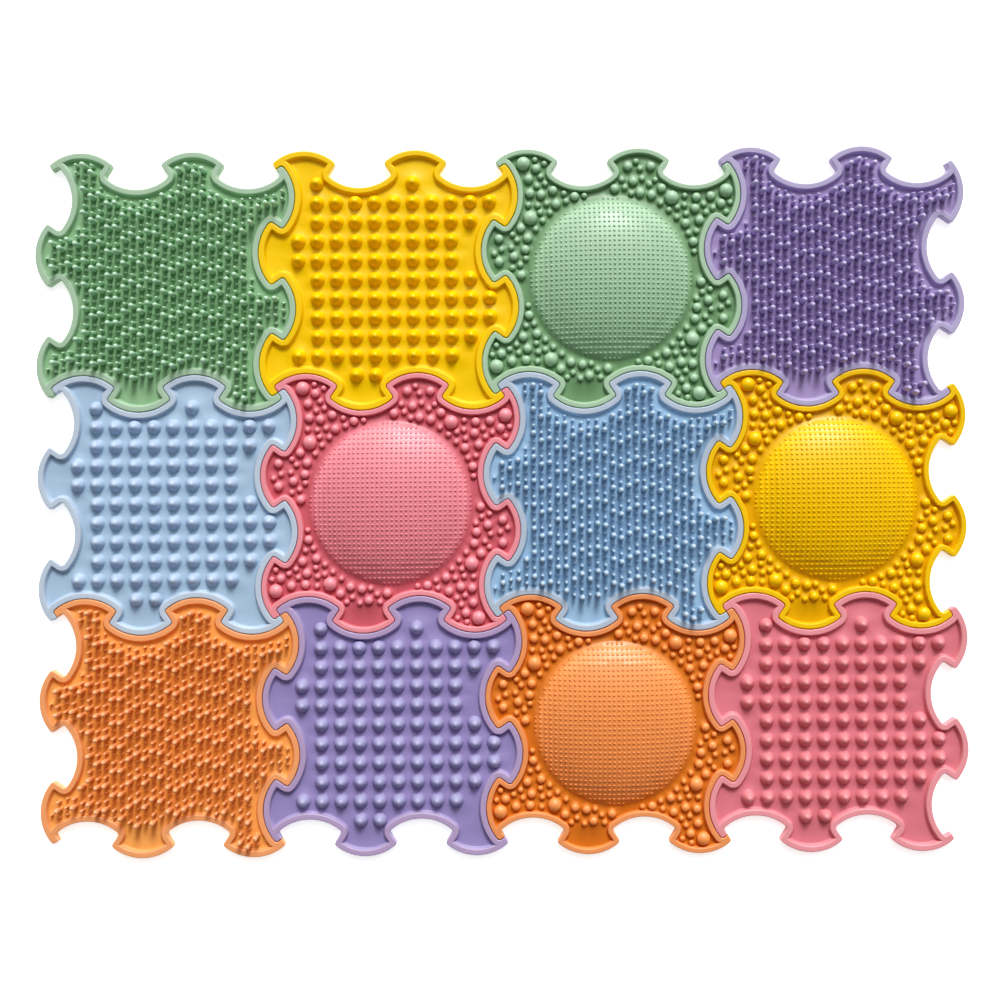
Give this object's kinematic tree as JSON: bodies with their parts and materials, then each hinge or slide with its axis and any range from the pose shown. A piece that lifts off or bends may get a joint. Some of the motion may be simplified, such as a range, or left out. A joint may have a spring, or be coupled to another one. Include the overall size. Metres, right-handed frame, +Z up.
{
  "type": "interlocking massage floor mat",
  "caption": "Rectangular foot massage mat of soft puzzle tiles with studs, fine pins, or pimpled domes among round stones; the tiles interlock by knobs and lift apart.",
  "frame": {"origin": "middle of the mat's footprint, on the floor plane that the tiles rest on", "axes": "+X along the long side of four tiles, +Y along the short side of three tiles, +Z up out of the studded face"},
  "size_m": [1.0408, 0.7908, 0.027],
  "materials": {
    "green_needle_vinyl": "satin dark green soft vinyl",
    "yellow_stud_vinyl": "satin yellow soft vinyl",
    "mint_dome_vinyl": "satin mint green soft vinyl",
    "purple_needle_vinyl": "satin purple soft vinyl",
    "sky_stud_vinyl": "satin pale blue soft vinyl",
    "rose_dome_vinyl": "satin rose pink soft vinyl",
    "blue_needle_vinyl": "satin blue soft vinyl",
    "yellow_dome_vinyl": "satin yellow soft vinyl",
    "orange_needle_vinyl": "satin light orange soft vinyl",
    "lilac_stud_vinyl": "satin lilac soft vinyl",
    "orange_dome_vinyl": "satin orange soft vinyl",
    "pink_stud_vinyl": "satin warm pink soft vinyl"
  },
  "bodies": {
    "green_needle": {"green_needle_tile": "green_needle_vinyl"},
    "yellow_stud": {"yellow_stud_tile": "yellow_stud_vinyl"},
    "mint_dome": {"mint_dome_tile": "mint_dome_vinyl"},
    "purple_needle": {"purple_needle_tile": "purple_needle_vinyl"},
    "sky_stud": {"sky_stud_tile": "sky_stud_vinyl"},
    "rose_dome": {"rose_dome_tile": "rose_dome_vinyl"},
    "blue_needle": {"blue_needle_tile": "blue_needle_vinyl"},
    "yellow_dome": {"yellow_dome_tile": "yellow_dome_vinyl"},
    "orange_needle": {"orange_needle_tile": "orange_needle_vinyl"},
    "lilac_stud": {"lilac_stud_tile": "lilac_stud_vinyl"},
    "orange_dome": {"orange_dome_tile": "orange_dome_vinyl"},
    "pink_stud": {"pink_stud_tile": "pink_stud_vinyl"}
  },
  "joints": [
    {"name": "green_needle_lift", "type": "slide", "parent": "blue_needle", "child": "green_needle", "axis": [0, 0, 1], "range_m": [0, 0.06]},
    {"name": "yellow_stud_lift", "type": "slide", "parent": "blue_needle", "child": "yellow_stud", "axis": [0, 0, 1], "range_m": [0, 0.06]},
    {"name": "mint_dome_lift", "type": "slide", "parent": "blue_needle", "child": "mint_dome", "axis": [0, 0, 1], "range_m": [0, 0.06]},
    {"name": "purple_needle_lift", "type": "slide", "parent": "blue_needle", "child": "purple_needle", "axis": [0, 0, 1], "range_m": [0, 0.06]},
    {"name": "sky_stud_lift", "type": "slide", "parent": "blue_needle", "child": "sky_stud", "axis": [0, 0, 1], "range_m": [0, 0.06]},
    {"name": "rose_dome_lift", "type": "slide", "parent": "blue_needle", "child": "rose_dome", "axis": [0, 0, 1], "range_m": [0, 0.06]},
    {"name": "yellow_dome_lift", "type": "slide", "parent": "blue_needle", "child": "yellow_dome", "axis": [0, 0, 1], "range_m": [0, 0.06]},
    {"name": "orange_needle_lift", "type": "slide", "parent": "blue_needle", "child": "orange_needle", "axis": [0, 0, 1], "range_m": [0, 0.06]},
    {"name": "lilac_stud_lift", "type": "slide", "parent": "blue_needle", "child": "lilac_stud", "axis": [0, 0, 1], "range_m": [0, 0.06]},
    {"name": "orange_dome_lift", "type": "slide", "parent": "blue_needle", "child": "orange_dome", "axis": [0, 0, 1], "range_m": [0, 0.06]},
    {"name": "pink_stud_lift", "type": "slide", "parent": "blue_needle", "child": "pink_stud", "axis": [0, 0, 1], "range_m": [0, 0.06]}
  ]
}
